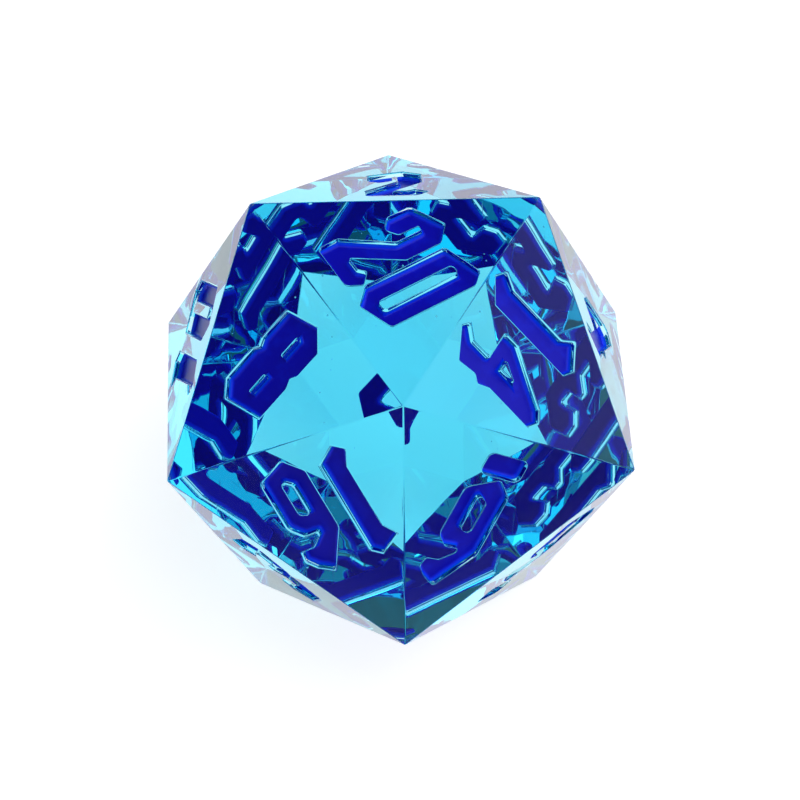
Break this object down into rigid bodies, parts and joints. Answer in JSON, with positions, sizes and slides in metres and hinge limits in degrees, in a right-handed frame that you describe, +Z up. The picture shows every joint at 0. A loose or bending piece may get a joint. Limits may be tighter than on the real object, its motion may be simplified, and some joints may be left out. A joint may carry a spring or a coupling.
{
  "type": "twenty-sided die",
  "caption": "Sharp-edged twenty-sided number die in clear tinted resin with recessed painted numerals; rolled to pick a random number.",
  "frame": {"origin": "centre of face 1, the face the die rests on", "axes": "+Z up through face 20; -Y toward the corner shared by faces 20, 14, 6, 16 and 8; +X to the right when looking along +Y"},
  "size_m": [0.0236, 0.0272, 0.022],
  "materials": {
    "clear_resin": "polished clear tinted casting resin",
    "numeral_paint": "glossy royal-blue paint"
  },
  "bodies": {
    "root": {"die_body": "clear_resin", "numeral_01": "numeral_paint", "numeral_02": "numeral_paint", "numeral_03": "numeral_paint", "numeral_04": "numeral_paint", "numeral_05": "numeral_paint", "numeral_06": "numeral_paint", "numeral_07": "numeral_paint", "numeral_08": "numeral_paint", "numeral_09": "numeral_paint", "numeral_10": "numeral_paint", "numeral_11": "numeral_paint", "numeral_12": "numeral_paint", "numeral_13": "numeral_paint", "numeral_14": "numeral_paint", "numeral_15": "numeral_paint", "numeral_16": "numeral_paint", "numeral_17": "numeral_paint", "numeral_18": "numeral_paint", "numeral_19": "numeral_paint", "numeral_20": "numeral_paint"}
  },
  "joints": []
}
